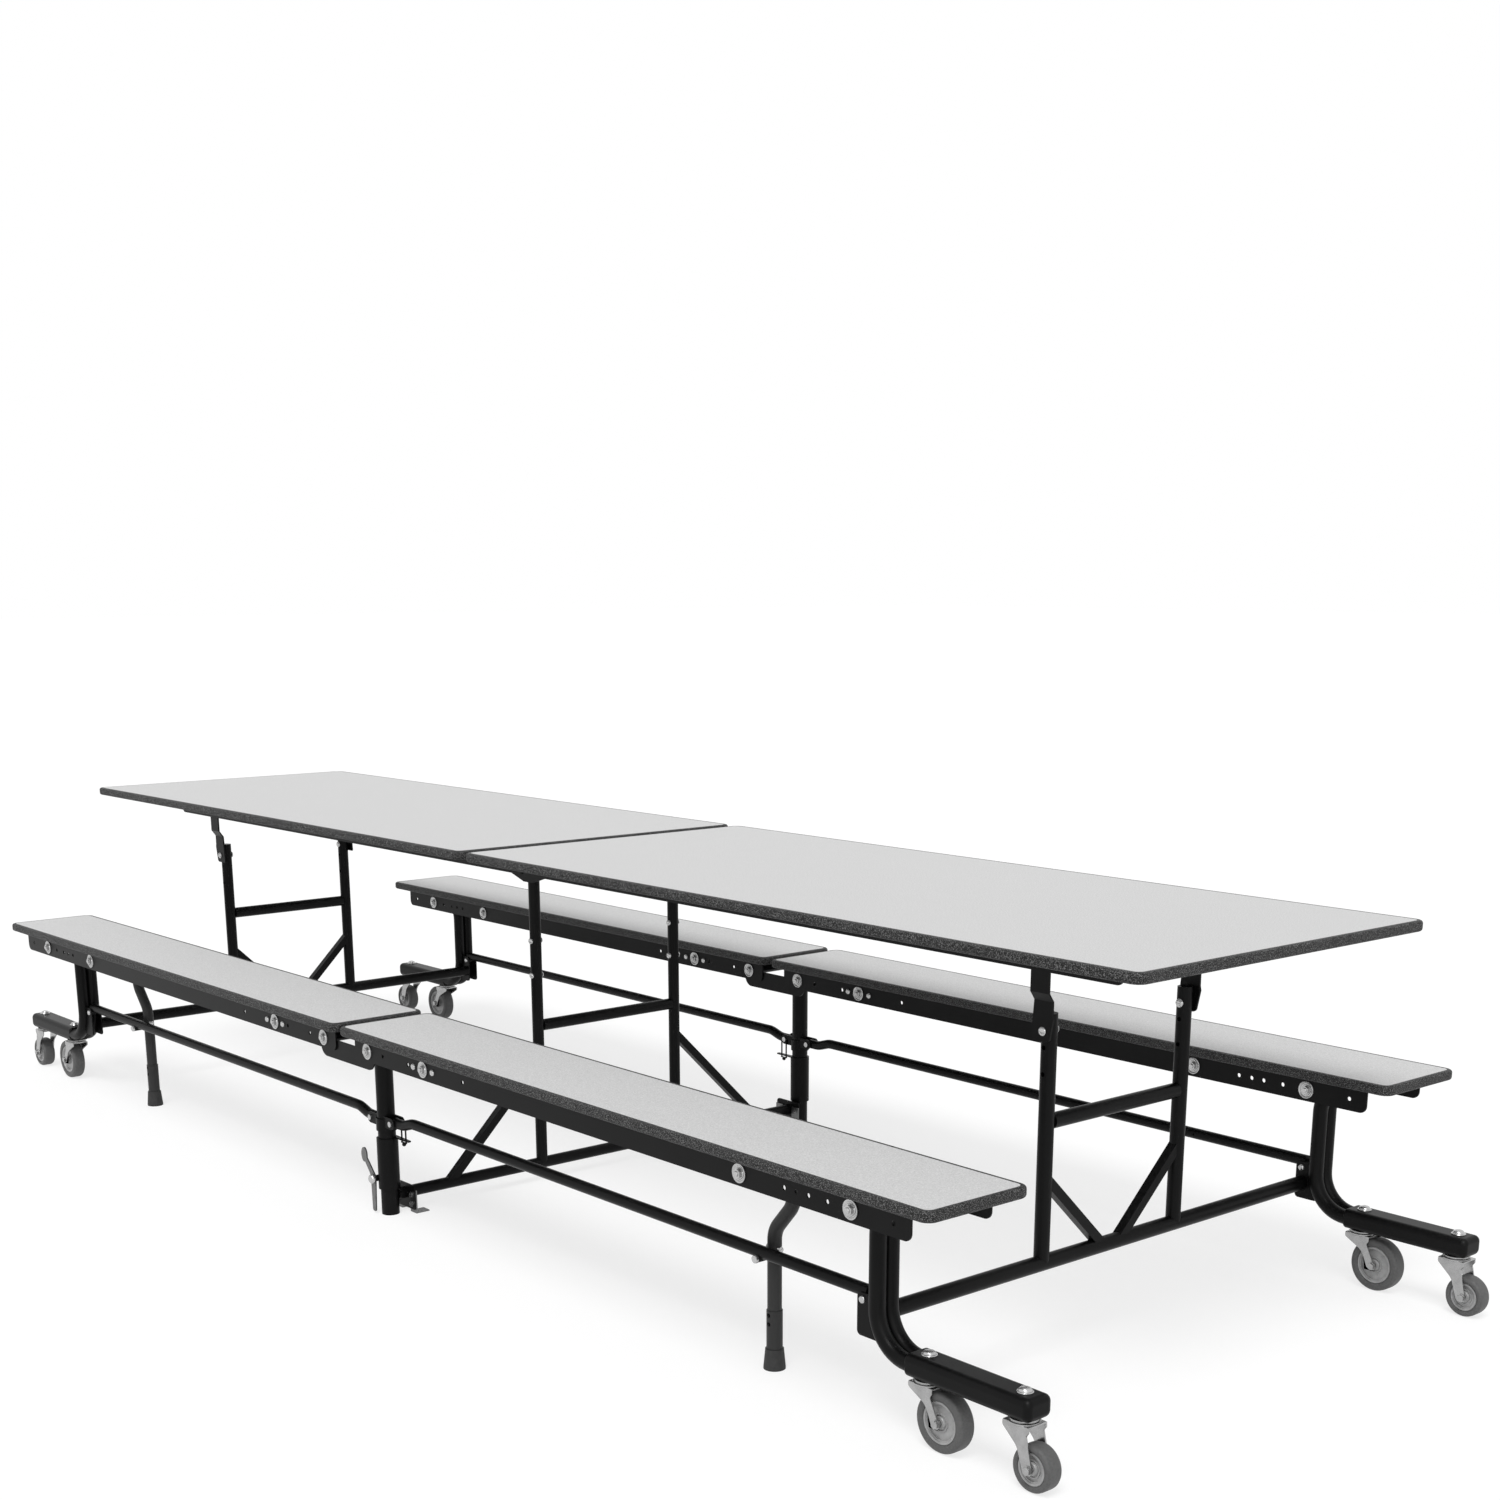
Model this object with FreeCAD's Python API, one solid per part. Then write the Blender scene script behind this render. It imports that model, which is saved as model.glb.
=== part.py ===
import FreeCAD, Part
import math
import os

# Mobile cafeteria table with two benches that fold together at the middle.
# Frame: X along the table, Y across it, Z up.  The origin is on the floor at the
# centre of the table.  The near bench is at -Y, the right half at +X.  Millimetres.

V = FreeCAD.Vector

# ---------------------------------------------------------------- driving sizes
# Boards
table_length = 3678.0
table_width = 760.0
table_height = 757.0
bench_length = 3458.0
bench_width = 225.0
bench_height = 427.0
bench_y = 588.0
board_thickness = 19.0
seam_gap = 21.0
band_width = 10.0
band_round = 5.5
board_corner = 22.0

# Sheet rails under the boards
rail_sheet = 3.0
rail_depth = 46.0
rail_flange = 36.0
rail_corner = 14.0
bench_rail_half_gap = 88.0
table_rail_y = 211.0
bench_rail_tail = 132.0
table_rail_tail = 180.0
bench_rail_start = 40.0
table_rail_start = 14.0
rail_hole = 4.2
spare_inner_holes = (150.0, 246.0, 445.0)
spare_outer_holes = (-156.0, -126.0, -98.0, -54.0, 94.0)

# Folding linkage: every link of one half is as long as the next
link_length = 1448.0
bench_pivot_x = 90.0
bench_pivot_drop = 43.0
stretcher_pivot_x = 41.0
stretcher_pivot_z = 207.5
table_pivot_x = 42.0
table_pivot_drop = 42.0
mid_leg_inset = 266.0

# Fits
side_gap = 0.3
pivot_clearance = 0.3
pin_clearance = 0.1

# Bolts
pivot_bolt_radius = 6.0
washer_radius = 16.5
washer_thickness = 2.5
bolt_head_radius = 9.0
bolt_head_height = 5.5
small_head_radius = 6.0
small_head_height = 3.5
small_bolt_radius = 4.0
tie_x = 303.0
tie_bolt_pitch = 35.0
tie_half_length = 50.0

# Round tubes
frame_tube = 14.3
light_tube = 12.7
tube_wall = 2.0
pivot_tube = 12.5
brace_side = 18.0

# End frame
end_tube = 13.8
end_upright_y = 179.0
end_upright_drop = 98.0
end_cross_z = 176.0
end_rung_z = 428.0
end_brace_top = 318.0
end_brace_foot_y = 33.0
cap_height = 6.0
s_leg_reach = 34.0
s_leg_bend_top = 335.0
s_leg_radius = 72.0
s_leg_upper_radius = 60.0
arm_z = 131.0
arm_start_reach = 75.0
arm_end_reach = 337.0
arm_height = 38.0
arm_corner = 12.0
arm_start_round = 4.5
gusset_inset = 12.0
gusset_bottom = 146.0
gusset_top = 219.0

# Table hinge straps on the end frames
strap_sheet = 4.0
strap_half = 20.5
strap_pivot_drop = 127.0
strap_jog_drop = 60.0
strap_jog_height = 15.0
strap_toe = 18.0
strap_tab_reach = 22.4

# Centre frame
centre_upright_y = 192.4
centre_upright_drop = 10.0
centre_cross_z = 40.0
centre_rung_z = 356.0
centre_brace_top = 275.0
centre_brace_foot_y = 430.0
hinge_plate_reach = 63.0
hinge_plate_lug = 20.0
post_radius = 19.0
post_wall = 2.5
sleeve_radius = 23.0
sleeve_top = 169.0
sleeve_bottom = 57.0
sleeve_floor = 5.0
saddle_depth = 40.0
saddle_floor_half = 55.0
saddle_lug = 19.0
saddle_sheet = 3.0
collar_sheet = 3.0
collar_bottom = 186.0
collar_height = 27.0
lug_sheet = 3.0
lug_round = 12.0

# Stretchers
stretcher_tube = 11.0
stretcher_rise = 11.0
stretcher_stub = 4.0
stretcher_bend_start = 29.0
stretcher_kink = 66.0
stretcher_bend_radius = 60.0

# Mid legs
mid_leg_y = 557.0
mid_leg_bend_top = 306.0
mid_leg_bend_bottom = 250.0
mid_leg_bend_radius = 45.0
mid_cross_bolt_z = 218.0
mid_eye_sheet = 2.5
mid_sleeve_radius = 14.3
mid_sleeve_top = 107.0
foot_height = 37.0
foot_radius = 19.5

# Casters: wheel radius, wheel width, stem position and trail
big_wheel = 50.8
small_wheel = 38.1
wheel_width = 31.0
big_stem_reach = 104.0
small_stem_reach = 305.0
big_trail = 38.0
small_trail = 29.0
axle_radius = 5.0
fork_sheet = 3.0
fork_gap = 2.5
race_radius = 26.0
race_height = 6.0
crown_sheet = 2.2
fork_foot = 10.0
dome_radius = 13.0
dome_height = 8.0

# Lever lock and floor glides of the centre legs
lever_sheet = 3.0
lever_y = 613.6
lever_pivot_x = 21.0
lever_pivot_z = 77.0
lever_pin = 3.5
lever_boss = 7.0
lever_head = 7.5
paddle_x = 55.0
paddle_z = 124.0
paddle_half_width = 11.0
paddle_half_height = 16.0
glide_sheet = 3.0
glide_inner_x = 17.0
glide_width = 24.0
glide_height = 50.0
glide_foot = 32.0
lock_pin_x = (32.8, 49.2)
lock_pin_radius = 1.8
lock_pin_gap = 0.2
lock_tab_end = 64.0
lock_tab_sheet = 3.0
lock_knob = 4.5

# ---------------------------------------------------------------- derived places
bench_half_length = (bench_length - seam_gap) / 2
table_half_length = (table_length - seam_gap) / 2
table_underside = table_height - board_thickness
bench_underside = bench_height - board_thickness
bench_pivot_z = bench_height - bench_pivot_drop
table_pivot_z = table_height - table_pivot_drop
centre_upright_top = table_underside - centre_upright_drop
end_upright_top = table_pivot_z - end_upright_drop
strap_pivot_z = table_pivot_z - strap_pivot_drop
strap_jog_top = table_pivot_z - strap_jog_drop
strap_jog_bottom = strap_jog_top - strap_jog_height
saddle_bottom = bench_pivot_z - saddle_depth
bench_outer_pivot_x = bench_pivot_x + link_length
stretcher_outer_pivot_x = stretcher_pivot_x + link_length
table_outer_pivot_x = table_pivot_x + link_length
mid_leg_pivot_x = bench_outer_pivot_x - mid_leg_inset
mid_leg_foot_x = mid_leg_pivot_x - (bench_pivot_x - stretcher_pivot_x)
bench_rail_end = bench_outer_pivot_x + bench_rail_tail
table_rail_end = table_outer_pivot_x + table_rail_tail
s_leg_x = stretcher_outer_pivot_x + s_leg_reach
arm_start = s_leg_x + arm_start_reach
arm_end = s_leg_x + arm_end_reach
big_stem_x = s_leg_x + big_stem_reach
small_stem_x = s_leg_x + small_stem_reach
rail_inner_gap = bench_rail_half_gap - rail_sheet
post_half_width = rail_inner_gap - side_gap
stretcher_z = stretcher_pivot_z + stretcher_rise
lug_inner = stretcher_tube + side_gap
lug_outer = lug_inner + lug_sheet
pivot_bore = pivot_bolt_radius + pivot_clearance
small_bore = small_bolt_radius + pivot_clearance
lock_pin_y = -bench_y + lug_outer + lock_pin_gap + lock_pin_radius
strap_upper_outer_y = table_rail_y - rail_sheet - side_gap
strap_lower_inner_y = end_upright_y + end_tube
s_leg_offset = frame_tube - 0.3


# ---------------------------------------------------------------- shape helpers
def rounded_outline(corners, place):
    """Closed face through (u, v, radius) corners; place maps (u, v) into space."""
    count = len(corners)
    cuts = []
    for i in range(count):
        u, v, radius = corners[i]
        corner = V(u, v, 0)
        before = (V(*corners[i - 1][:2], 0) - corner).normalize()
        after = (V(*corners[(i + 1) % count][:2], 0) - corner).normalize()
        half = before.getAngle(after) / 2
        if radius == 0:
            cuts.append((corner, None, corner))
            continue
        reach = radius / math.tan(half)
        middle = (before + after).normalize() * (radius / math.sin(half) - radius)
        cuts.append((corner + before * reach, corner + middle, corner + after * reach))
    edges = []
    for i in range(count):
        start, middle, end = [p and place(p.x, p.y) for p in cuts[i]]
        following = cuts[(i + 1) % count][0]
        if middle:
            edges.append(Part.Arc(start, middle, end).toShape())
        if (place(following.x, following.y) - end).Length > 1e-6:
            edges.append(Part.makeLine(end, place(following.x, following.y)))
    return Part.Face(Part.Wire(Part.__sortEdges__(edges)))


def plate_xz(corners, y_low, thickness):
    """Plate whose outline lies in XZ, from y_low towards +Y."""
    return rounded_outline(corners, lambda u, v: V(u, y_low, v)).extrude(V(0, thickness, 0))


def plate_xy(corners, z_low, thickness):
    """Plate whose outline lies in XY, from z_low upwards."""
    return rounded_outline(corners, lambda u, v: V(u, v, z_low)).extrude(V(0, 0, thickness))


def plate_yz(corners, x_low, thickness):
    """Plate whose outline lies in YZ, from x_low towards +X."""
    return rounded_outline(corners, lambda u, v: V(x_low, u, v)).extrude(V(thickness, 0, 0))


def rod(start, end, radius):
    """Solid cylinder between two points."""
    run = end - start
    return Part.makeCylinder(radius, run.Length, start, run)


def rod_y(x, z, radius, y_low, y_high):
    """Solid cylinder along Y."""
    return rod(V(x, y_low, z), V(x, y_high, z), radius)


def tube(start, end, radius, wall):
    """Open tube between two points."""
    return rod(start, end, radius).cut(rod(start, end, radius - wall))


def path_wire(points):
    """Wire of straight runs joined by tangent arcs: points are (vector, radius)."""
    edges = []
    last = points[0][0]
    for i in range(1, len(points) - 1):
        corner, radius = points[i]
        before = (points[i - 1][0] - corner).normalize()
        after = (points[i + 1][0] - corner).normalize()
        half = before.getAngle(after) / 2
        reach = radius / math.tan(half)
        start = corner + before * reach
        end = corner + after * reach
        middle = corner + (before + after).normalize() * (radius / math.sin(half) - radius)
        edges.append(Part.makeLine(last, start))
        edges.append(Part.Arc(start, middle, end).toShape())
        last = end
    edges.append(Part.makeLine(last, points[-1][0]))
    return Part.Wire(edges)


def bent_rod(points, radius):
    """Solid rod swept along straight runs and tangent arcs."""
    start = points[0][0]
    direction = points[1][0] - start
    section = Part.Wire(Part.makeCircle(radius, start, direction))
    return path_wire(points).makePipeShell([section], True, True)


def union(shapes):
    """One solid from touching or crossing shapes."""
    return shapes[0].multiFuse(shapes[1:]).removeSplitter()


def box(x0, x1, y0, y1, z0, z1):
    """Box between two corners."""
    return Part.makeBox(x1 - x0, y1 - y0, z1 - z0, V(x0, y0, z0))


def mirror_x(shape):
    """Copy on the other side of the middle seam."""
    return shape.mirror(V(0, 0, 0), V(1, 0, 0))


def mirror_y(shape):
    """Copy on the other side of the long axis."""
    return shape.mirror(V(0, 0, 0), V(0, 1, 0))


def turned(shape):
    """Copy turned half a turn about the vertical axis."""
    copy = shape.copy()
    copy.rotate(V(0, 0, 0), V(0, 0, 1), 180)
    return copy


# ---------------------------------------------------------------- boards
def rectangle(x0, x1, y0, y1, radius):
    """Corners of a rectangle with one rounding."""
    return [(x0, y0, radius), (x1, y0, radius), (x1, y1, radius), (x0, y1, radius)]


def board_core(x0, x1, y0, y1, z_top):
    """Laminated panel inside its edge band."""
    corner = board_corner - band_width
    outline = rectangle(x0 + band_width, x1 - band_width, y0 + band_width, y1 - band_width, corner)
    return plate_xy(outline, z_top - board_thickness, board_thickness)


def board_band(x0, x1, y0, y1, z_top):
    """Edge band that runs all round the panel, rounded on its outer corners."""
    outer = plate_xy(rectangle(x0, x1, y0, y1, board_corner), z_top - board_thickness, board_thickness)
    rims = [e for e in outer.Edges if abs(e.BoundBox.ZMax - e.BoundBox.ZMin) < 0.01]
    return outer.makeFillet(band_round, rims).cut(board_core(x0, x1, y0, y1, z_top))


# ---------------------------------------------------------------- sheet rails
def rail(start, end, y_face, z_top, inward, holes):
    """Angle rail on the +X side: web with y_face outside, flange under the board."""
    low = z_top - rail_depth
    web_y = y_face if inward > 0 else y_face - rail_sheet
    corners = [(start, low, rail_corner), (end, low, rail_corner), (end, z_top, 0), (start, z_top, 0)]
    web = plate_xz(corners, web_y, rail_sheet)
    flange_y = web_y if inward > 0 else web_y + rail_sheet - rail_flange
    flange = box(start + rail_corner, end - rail_corner, flange_y, flange_y + rail_flange, z_top - rail_sheet, z_top)
    body = union([web, flange])
    drills = [rod_y(x, z, r, web_y - 1, web_y + rail_sheet + 1) for x, z, r in holes]
    return body.cut(Part.makeCompound(drills))


def bench_rails():
    """Both rails of the near right bench half, with the tie channel between them."""
    outer_y = -bench_y - bench_rail_half_gap
    inner_y = -bench_y + bench_rail_half_gap
    bolts = [bench_pivot_x, tie_x, mid_leg_pivot_x, bench_outer_pivot_x]
    holes = [(x, bench_pivot_z, pivot_bolt_radius) for x in bolts]
    holes += [(tie_x + s * tie_bolt_pitch, bench_pivot_z, small_bolt_radius) for s in (-1, 1)]
    spare = list(spare_inner_holes) + [bench_outer_pivot_x + x for x in spare_outer_holes]
    holes += [(x, bench_pivot_z, rail_hole) for x in spare]
    outer = rail(bench_rail_start, bench_rail_end, outer_y, bench_underside, 1, holes)
    inner = rail(bench_rail_start, bench_rail_end, inner_y, bench_underside, -1, holes)
    low = bench_underside - rail_depth
    top = bench_underside - rail_sheet
    y0 = outer_y + rail_sheet
    y1 = inner_y - rail_sheet
    x0 = tie_x - tie_half_length
    x1 = tie_x + tie_half_length
    tie = box(x0, x1, y0, y1, low, top)
    tie = tie.cut(box(x0 - 1, x1 + 1, y0 + rail_sheet, y1 - rail_sheet, low + rail_sheet, top + 1))
    drills = [rod_y(x, z, r, y0 - 1, y1 + 1) for x, z, r in holes if abs(x - tie_x) < tie_half_length]
    return [outer, inner, tie.cut(Part.makeCompound(drills))]


def table_rails():
    """Both rails of the right table half, flanges turned outwards."""
    holes = [(x, table_pivot_z, pivot_bolt_radius) for x in (table_pivot_x, table_outer_pivot_x)]
    near = rail(table_rail_start, table_rail_end, -table_rail_y + rail_sheet, table_underside, -1, holes)
    pins = []
    for x in (table_pivot_x, table_outer_pivot_x):
        shank = rod_y(x, table_pivot_z, pivot_bolt_radius, -table_rail_y, -strap_upper_outer_y + strap_sheet)
        head = rod_y(x, table_pivot_z, bolt_head_radius, -table_rail_y - bolt_head_height, -table_rail_y)
        collar_y = -strap_upper_outer_y + strap_sheet + side_gap
        reach = rod_y(x, table_pivot_z, pivot_bolt_radius, collar_y - side_gap, collar_y)
        nut = rod_y(x, table_pivot_z, bolt_head_radius, collar_y, collar_y + bolt_head_height)
        pins.append(union([shank, head, reach, nut]))
    return [near] + pins + [mirror_y(s) for s in [near] + pins]


# ---------------------------------------------------------------- bolts of a bench half
def through_bolt(x):
    """Bolt across both rails with a washer and head at each end."""
    face = bench_rail_half_gap
    outer = face + washer_thickness
    parts = [rod_y(x, bench_pivot_z, pivot_bolt_radius, -bench_y - face, -bench_y + face)]
    for side in (-1, 1):
        ys = sorted((-bench_y + side * face, -bench_y + side * outer))
        parts.append(rod_y(x, bench_pivot_z, washer_radius, *ys))
        ys = sorted((-bench_y + side * outer, -bench_y + side * (outer + bolt_head_height)))
        parts.append(rod_y(x, bench_pivot_z, bolt_head_radius, *ys))
    return union(parts)


def small_bolt(x, side):
    """Short bolt that holds the tie channel to one rail."""
    face = bench_rail_half_gap
    inside = face - 2 * rail_sheet
    ys = sorted((-bench_y + side * face, -bench_y + side * inside))
    shank = rod_y(x, bench_pivot_z, small_bolt_radius, *ys)
    ys = sorted((-bench_y + side * face, -bench_y + side * (face + small_head_height)))
    outer_head = rod_y(x, bench_pivot_z, small_head_radius, *ys)
    ys = sorted((-bench_y + side * inside, -bench_y + side * (inside - small_head_height)))
    nut = rod_y(x, bench_pivot_z, small_head_radius, *ys)
    return union([shank, outer_head, nut])


def bench_bolts():
    """All bolts of the near right bench half."""
    bolts = [through_bolt(x) for x in (bench_pivot_x, tie_x, mid_leg_pivot_x, bench_outer_pivot_x)]
    for direction in (-1, 1):
        for side in (-1, 1):
            bolts.append(small_bolt(tie_x + direction * tie_bolt_pitch, side))
    return bolts


# ---------------------------------------------------------------- stretcher
def stretcher(with_leg_eye):
    """Right stretcher: one tube, straight to its outer pivot and bent down to its inner one."""
    inner = stretcher_pivot_x
    outer = stretcher_outer_pivot_x
    low = stretcher_pivot_z
    y = -bench_y
    end = outer + stretcher_stub
    points = [
        (V(inner - stretcher_tube, y, low), 0),
        (V(inner + stretcher_bend_start, y, low), stretcher_bend_radius),
        (V(inner + stretcher_kink, y, stretcher_z), stretcher_bend_radius),
        (V(end, y, stretcher_z), 0),
    ]
    body = bent_rod(points, stretcher_tube)
    reach = 2 * stretcher_tube
    rounding = rod_y(inner, low, stretcher_tube, y - reach, y + reach)
    body = body.common(union([rounding, box(inner, end, y - reach, y + reach, low - reach, stretcher_z + reach)]))
    eye_radius = small_bore + mid_eye_sheet
    eyes = [(outer, eye_radius)]
    if with_leg_eye:
        eyes.append((mid_leg_foot_x, eye_radius))
    for x, r in eyes:
        eye = rod_y(x, low, r, y - stretcher_tube, y + stretcher_tube)
        neck = box(x - r, x + r, y - stretcher_tube, y + stretcher_tube, low, stretcher_z)
        lower_half = box(x - r, x + r, y - stretcher_tube, y + stretcher_tube, low - r, stretcher_z)
        body = union([body, eye.fuse(neck).common(lower_half)])
    drills = [rod_y(x, low, small_bore, y - reach, y + reach) for x in [inner] + [x for x, r in eyes]]
    if not with_leg_eye:
        drills.append(rod_y(mid_leg_foot_x, stretcher_z, rail_hole / 2, y - reach, y + reach))
    return body.cut(Part.makeCompound(drills))


# ---------------------------------------------------------------- mid leg
def mid_leg():
    """Near right mid leg: offset-bent tube with its pivot tube, swaged foot sleeve and pin."""
    y = -mid_leg_y
    points = [
        (V(mid_leg_pivot_x, y, bench_pivot_z), 0),
        (V(mid_leg_pivot_x, y, mid_leg_bend_top), mid_leg_bend_radius),
        (V(mid_leg_foot_x, y, mid_leg_bend_bottom), mid_leg_bend_radius),
        (V(mid_leg_foot_x, y, mid_sleeve_top), 0),
    ]
    sleeve_foot = foot_height - 12
    outer = [
        bent_rod(points, light_tube),
        rod(V(mid_leg_foot_x, y, sleeve_foot), V(mid_leg_foot_x, y, mid_sleeve_top), mid_sleeve_radius),
        rod_y(mid_leg_pivot_x, bench_pivot_z, pivot_tube, -bench_y - post_half_width, -bench_y + post_half_width),
    ]
    body = union(outer)
    bore_top = V(mid_leg_foot_x, y, mid_leg_bend_bottom - mid_leg_bend_radius)
    body = body.cut(rod(V(mid_leg_foot_x, y, sleeve_foot), bore_top, light_tube - tube_wall))
    body = body.cut(rod_y(mid_leg_pivot_x, bench_pivot_z, pivot_bore, -bench_y - 100, -bench_y + 100))
    pin_z = stretcher_pivot_z
    face = -bench_y - stretcher_tube - side_gap
    pin = rod_y(mid_leg_foot_x, pin_z, small_bolt_radius, face, y - light_tube + tube_wall)
    head = rod_y(mid_leg_foot_x, pin_z, small_head_radius, face - small_head_height, face)
    boss = rod_y(mid_leg_foot_x, pin_z, small_head_radius, -bench_y + stretcher_tube + side_gap, y - light_tube + 1)
    cross = rod(
        V(mid_leg_foot_x - light_tube - small_head_height, y, mid_cross_bolt_z),
        V(mid_leg_foot_x + light_tube + small_head_height, y, mid_cross_bolt_z),
        small_head_radius - 1,
    )
    leg = union([body, pin, head, boss, cross])
    holes = [rod_y(mid_leg_foot_x, z, rail_hole, y - 20, y) for z in (mid_sleeve_top - 8, mid_sleeve_top - 24)]
    foot = Part.makeCone(foot_radius, mid_sleeve_radius + 2, foot_height - 4, V(mid_leg_foot_x, y, 4))
    pad = rod(V(mid_leg_foot_x, y, 0), V(mid_leg_foot_x, y, 4), foot_radius)
    socket = rod(V(mid_leg_foot_x, y, sleeve_foot), V(mid_leg_foot_x, y, foot_height + 1), mid_sleeve_radius)
    return [leg.cut(Part.makeCompound(holes)), union([foot, pad]).cut(socket)]


# ---------------------------------------------------------------- end frame
def s_leg_outline(y):
    """Centre line of one of the two tubes that make an S-leg."""
    return [
        (V(bench_outer_pivot_x, y, bench_pivot_z), 0),
        (V(s_leg_x, y, s_leg_bend_top), s_leg_upper_radius),
        (V(s_leg_x, y, arm_z), s_leg_radius),
        (V(arm_start + 10, y, arm_z), 0),
    ]


def s_leg():
    """Near right S-leg: twin bent tubes, caster arm, gussets and pivot tube."""
    tubes = [bent_rod(s_leg_outline(-bench_y + side * s_leg_offset), frame_tube) for side in (-1, 1)]
    half = s_leg_offset + frame_tube
    arm = plate_yz(
        rectangle(-bench_y - half, -bench_y + half, arm_z - arm_height / 2, arm_z + arm_height / 2, arm_corner),
        arm_start,
        arm_end - arm_start,
    )
    rims = [e for e in arm.Edges if e.BoundBox.XMin > arm_end - 0.01]
    arm = arm.makeFillet(arm_corner - 1, rims)
    rims = [e for e in arm.Edges if e.BoundBox.XMax < arm_start + 0.01]
    arm = arm.makeFillet(arm_start_round, rims)
    start = -bench_y - post_half_width
    end = -bench_y + post_half_width
    sleeve = rod_y(bench_outer_pivot_x, bench_pivot_z, pivot_tube, start, end)
    gusset_x = stretcher_outer_pivot_x - gusset_inset
    corners = [
        (gusset_x, gusset_bottom, 8),
        (s_leg_x, gusset_bottom, 0),
        (s_leg_x, gusset_top, 0),
        (gusset_x, gusset_top, 8),
    ]
    gussets = []
    for y0 in (-bench_y - lug_outer, -bench_y + lug_inner):
        gussets.append(plate_xz(corners, y0, lug_sheet))
    body = union(tubes + [arm, sleeve] + gussets)
    body = body.cut(rod_y(bench_outer_pivot_x, bench_pivot_z, pivot_bore, start - 1, end + 1))
    body = body.cut(rod_y(stretcher_outer_pivot_x, stretcher_pivot_z, small_bolt_radius, -bench_y - 20, -bench_y + 20))
    for stem_x in (big_stem_x, small_stem_x):
        body = body.cut(rod(V(stem_x, -bench_y, arm_z - arm_height), V(stem_x, -bench_y, arm_z + arm_height), small_bolt_radius + 2))
    return body


def end_upright():
    """Near upright of the right end frame with its brace, before joining."""
    x = table_outer_pivot_x
    y = -end_upright_y
    post = rod(V(x, y, end_cross_z), V(x, y, end_upright_top), end_tube)
    foot = V(x, -end_brace_foot_y, end_cross_z + frame_tube - 3)
    top = V(x, -(end_upright_y - end_tube + 3), end_brace_top)
    bore_foot = V(x, y, end_cross_z + frame_tube)
    bores = [rod(bore_foot, V(x, y, end_upright_top - cap_height), end_tube - tube_wall)]
    for drop in (29.0, 75.0):
        bores.append(rod_y(x, strap_pivot_z - drop, rail_hole, y - 20, y + 20))
    bores.append(rod_y(x, strap_pivot_z, small_bolt_radius + 1, y - 20, y + 20))
    return union([post, brace(foot, top)]).cut(Part.makeCompound(bores))


def end_frame():
    """Right end frame: a weldment of cross tube, uprights, rung, braces and two S-legs."""
    x = table_outer_pivot_x
    leg = s_leg()
    upright = end_upright()
    cross_end = bench_y - lug_inner
    cross = rod(V(x, -cross_end, end_cross_z), V(x, cross_end, end_cross_z), frame_tube)
    rung_end = end_upright_y - end_tube + 1.5
    rung = rod(V(x, -rung_end, end_rung_z), V(x, rung_end, end_rung_z), end_tube)
    return union([leg, mirror_y(leg), upright, mirror_y(upright), cross, rung])


def brace(foot, top):
    """Square bar between two points in a plane across the table."""
    run = top - foot
    bar = box(-brace_side / 2, brace_side / 2, -brace_side / 2, brace_side / 2, 0, run.Length)
    bar.rotate(V(0, 0, 0), V(1, 0, 0), -math.degrees(math.atan2(run.y, run.z)))
    bar.translate(foot)
    return bar


def hinge_strap():
    """Near right hinge strap: a joggled strap that carries the table rail."""
    x = table_outer_pivot_x
    outer = -strap_upper_outer_y
    inner = -strap_lower_inner_y - strap_sheet
    upper = plate_xz(
        [
            (x - strap_half, strap_jog_top, 0),
            (x + strap_half, strap_jog_top, 0),
            (x + strap_half, table_pivot_z + strap_half, strap_half - 1),
            (x - strap_half, table_pivot_z + strap_half, strap_half - 1),
        ],
        outer,
        strap_sheet,
    )
    lower = plate_xz(
        [
            (x - strap_half, strap_jog_bottom, 0),
            (x - strap_half - 5, strap_pivot_z - strap_toe, 2),
            (x + strap_half - 6, strap_pivot_z - strap_toe, 8),
            (x + strap_tab_reach, strap_pivot_z + 22, 3),
            (x + strap_half, strap_pivot_z + 30, 0),
            (x + strap_half, strap_jog_bottom, 0),
        ],
        inner,
        strap_sheet,
    )
    jog = rounded_outline(
        [
            (outer, strap_jog_top, 0),
            (inner, strap_jog_bottom, 0),
            (inner + strap_sheet, strap_jog_bottom, 0),
            (outer + strap_sheet, strap_jog_top, 0),
        ],
        lambda u, v: V(x - strap_half, u, v),
    ).extrude(V(2 * strap_half, 0, 0))
    body = union([upper, lower, jog])
    body = body.cut(rod_y(x, table_pivot_z, pivot_bore, outer - 1, outer + strap_sheet + 1))
    return body.cut(rod_y(x, strap_pivot_z, small_bolt_radius + 1, inner - 1, inner + strap_sheet + 1))


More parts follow.
